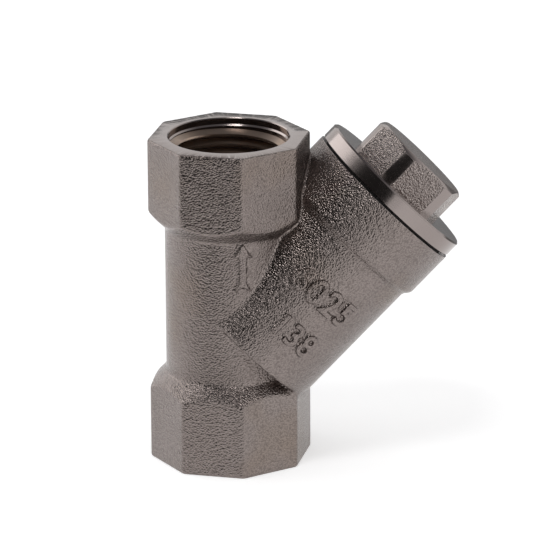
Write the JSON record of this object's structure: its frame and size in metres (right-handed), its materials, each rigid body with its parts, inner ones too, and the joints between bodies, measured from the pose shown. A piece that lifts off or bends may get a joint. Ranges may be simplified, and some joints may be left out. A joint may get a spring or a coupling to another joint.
{
  "type": "y-pattern gas strainer",
  "caption": "Forged Y-pattern strainer with threaded octagonal ends and a slanted branch that holds a perforated, mesh-lined screen under a hexagonal screwed cap.",
  "frame": {"origin": "centre of the inlet end face, on the flow line", "axes": "+Z along the flow line from inlet to outlet, the branch leans 45 degrees towards +X, +Y completes the right-handed frame"},
  "size_m": [0.0558, 0.0308, 0.0598],
  "materials": {
    "blasted_nickel": "nickel plated brass, shot-blasted",
    "turned_nickel": "nickel plated brass, turned",
    "gasket": "matt black fibre rubber",
    "stainless_sheet": "perforated stainless sheet",
    "stainless_mesh": "woven stainless mesh"
  },
  "bodies": {
    "strainer_body": {"body": "blasted_nickel"},
    "screen": {"screen_support": "stainless_sheet", "screen_mesh": "stainless_mesh"},
    "gasket": {"cap_gasket": "gasket"},
    "screwed_cap": {"cap": "turned_nickel"}
  },
  "joints": [
    {"name": "screen_lift", "type": "slide", "parent": "strainer_body", "child": "screen", "axis": [0.7071, 0, 0.7071], "range_m": [0, 0.04]},
    {"name": "cap_travel", "type": "slide", "parent": "screen", "child": "gasket", "axis": [0.7071, 0, 0.7071], "range_m": [0, 0.0091]},
    {"name": "cap_turn", "type": "hinge", "parent": "gasket", "child": "screwed_cap", "pos_m": [0.0303, 0, 0.04888], "axis": [0.7071, 0, 0.7071], "range_deg": [0, 2160]}
  ],
  "couplings": [
    {"joint": "cap_travel", "follows": "cap_turn", "m_per_rad": 0.00023873}
  ]
}
